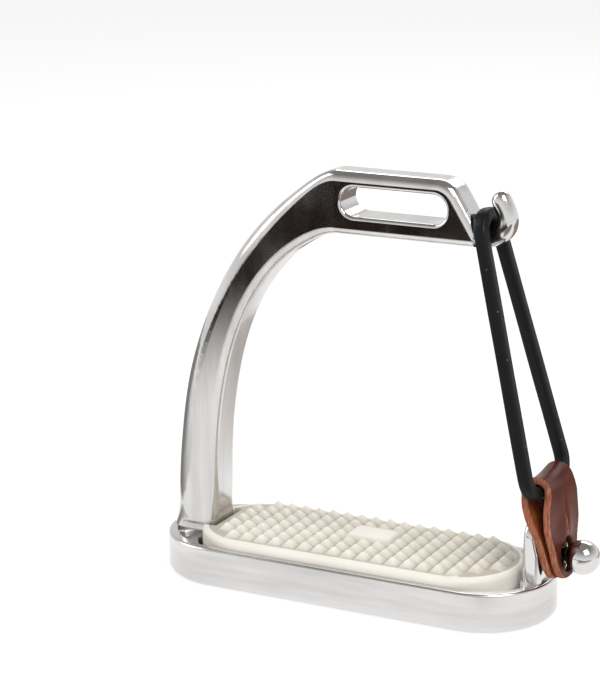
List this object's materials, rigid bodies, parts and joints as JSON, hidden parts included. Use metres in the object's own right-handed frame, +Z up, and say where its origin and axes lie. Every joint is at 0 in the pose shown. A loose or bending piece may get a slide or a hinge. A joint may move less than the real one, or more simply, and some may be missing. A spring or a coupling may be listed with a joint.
{
  "type": "stirrup iron",
  "caption": "Safety stirrup iron: polished steel arch open on one side, rubber tread, rubber release ring from hook to leather tab on a ball stud.",
  "frame": {"origin": "middle of the footbed's flat underside", "axes": "+X along the tread towards the ring's open side, +Y across the tread, +Z up"},
  "size_m": [0.1581, 0.0494, 0.1454],
  "materials": {
    "polished_steel": "hand-polished stainless steel",
    "white_rubber": "moulded cream rubber, matt",
    "black_rubber": "moulded black rubber, slight sheen",
    "brown_leather": "chestnut bridle leather, waxed grain side, raw flesh side and edges"
  },
  "bodies": {
    "iron": {"footbed": "polished_steel", "arch": "polished_steel", "hook": "polished_steel", "stub_leg": "polished_steel", "ball_stud": "polished_steel", "tread_pad": "white_rubber"},
    "tab": {"leather_tab": "brown_leather"},
    "ring": {"rubber_ring": "black_rubber"}
  },
  "joints": [
    {"name": "tab_swivel", "type": "hinge", "parent": "iron", "child": "tab", "pos_m": [0.0727, 0, 0.0235], "axis": [1, 0, 0], "range_deg": [-70, 70]},
    {"name": "ring_release", "type": "hinge", "parent": "tab", "child": "ring", "pos_m": [0.0687, 0, 0.0466], "axis": [0, 1, 0], "range_deg": [0, 120], "deforming": ["rubber_ring"]}
  ]
}
